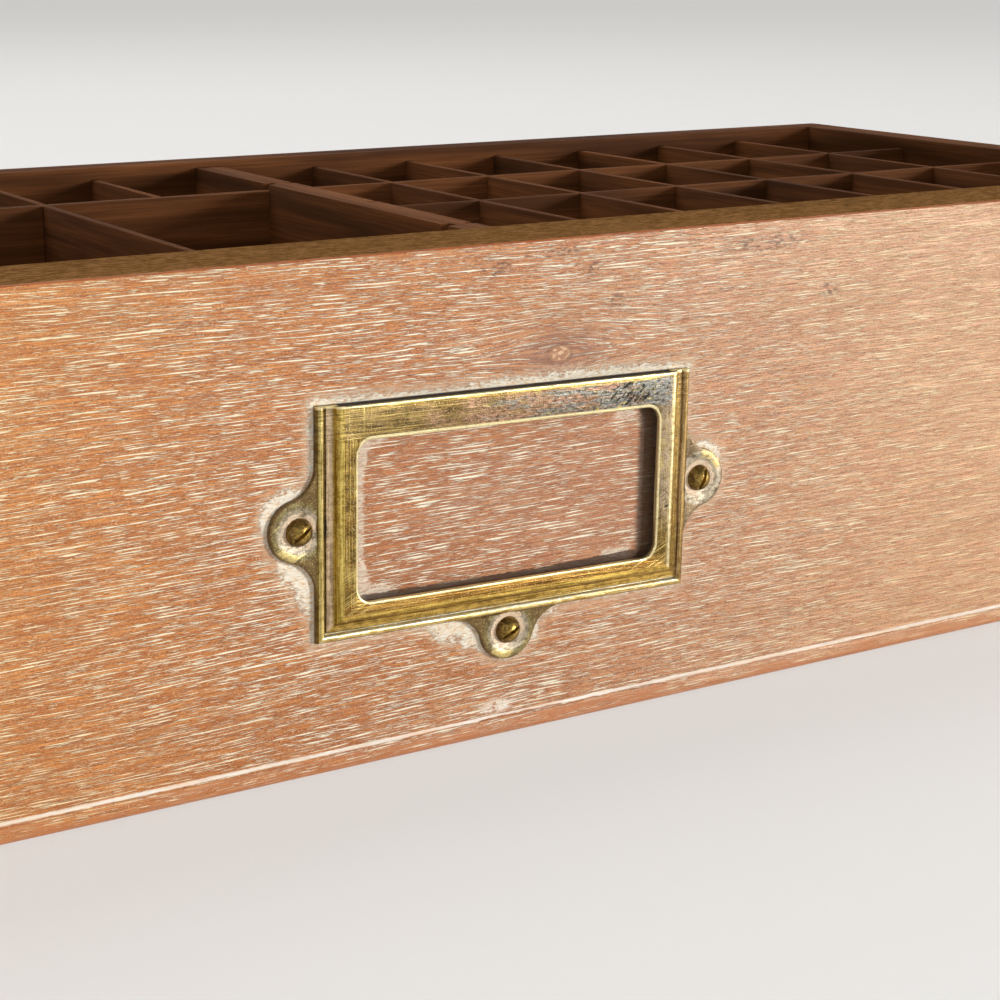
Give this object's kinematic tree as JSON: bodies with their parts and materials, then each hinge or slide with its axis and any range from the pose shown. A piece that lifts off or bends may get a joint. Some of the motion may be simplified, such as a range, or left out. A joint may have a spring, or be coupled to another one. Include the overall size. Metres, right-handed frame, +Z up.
{
  "type": "type case",
  "caption": "Shallow wooden drawer for printers' type, parted into boxes by bars and slats, with a brass card frame screwed to its limed hardwood front.",
  "frame": {"origin": "middle of the footprint, on the plane of the bottom edges of the front and the sides", "axes": "+X along the length of the front, to the right when the front is faced; +Y from the front to the back; +Z up"},
  "size_m": [0.819, 0.4244, 0.076],
  "materials": {
    "limed_front": "satin, grain filled with white lime wax",
    "frame_wood": "dark aged, waxed",
    "slat_wood": "dark aged, matt",
    "bottom_wood": "aged, matt",
    "aged_brass": "tarnished, rubbed bright at the edges",
    "nail_iron": "dull, slightly rusted"
  },
  "bodies": {
    "root": {"front_board": "limed_front", "back_board": "frame_wood", "left_side": "frame_wood", "right_side": "frame_wood", "bottom_board_front": "bottom_wood", "bottom_board_middle": "bottom_wood", "bottom_board_back": "bottom_wood", "left_bar": "slat_wood", "right_bar": "slat_wood", "left_row_slat_1": "slat_wood", "left_row_slat_2": "slat_wood", "left_row_slat_3": "slat_wood", "middle_row_slat_1": "slat_wood", "middle_row_slat_2": "slat_wood", "middle_row_slat_3": "slat_wood", "left_box_slats_row_1": "slat_wood", "left_box_slats_row_2": "slat_wood", "left_box_slats_row_3": "slat_wood", "left_box_slats_row_4": "slat_wood", "middle_box_slats_row_1": "slat_wood", "middle_box_slats_row_2": "slat_wood", "middle_box_slats_row_3": "slat_wood", "middle_box_slats_row_4": "slat_wood", "left_split_slats": "slat_wood", "middle_split_slats": "slat_wood", "capital_long_slat_1": "slat_wood", "capital_long_slat_2": "slat_wood", "capital_long_slat_3": "slat_wood", "capital_long_slat_4": "slat_wood", "capital_long_slat_5": "slat_wood", "capital_long_slat_6": "slat_wood", "capital_cross_slat_1": "slat_wood", "capital_cross_slat_2": "slat_wood", "capital_cross_slat_3": "slat_wood", "capital_cross_slat_4": "slat_wood", "capital_cross_slat_5": "slat_wood", "capital_cross_slat_6": "slat_wood", "bottom_nails": "nail_iron", "card_frame": "aged_brass", "card_frame_screws": "aged_brass"}
  },
  "joints": []
}
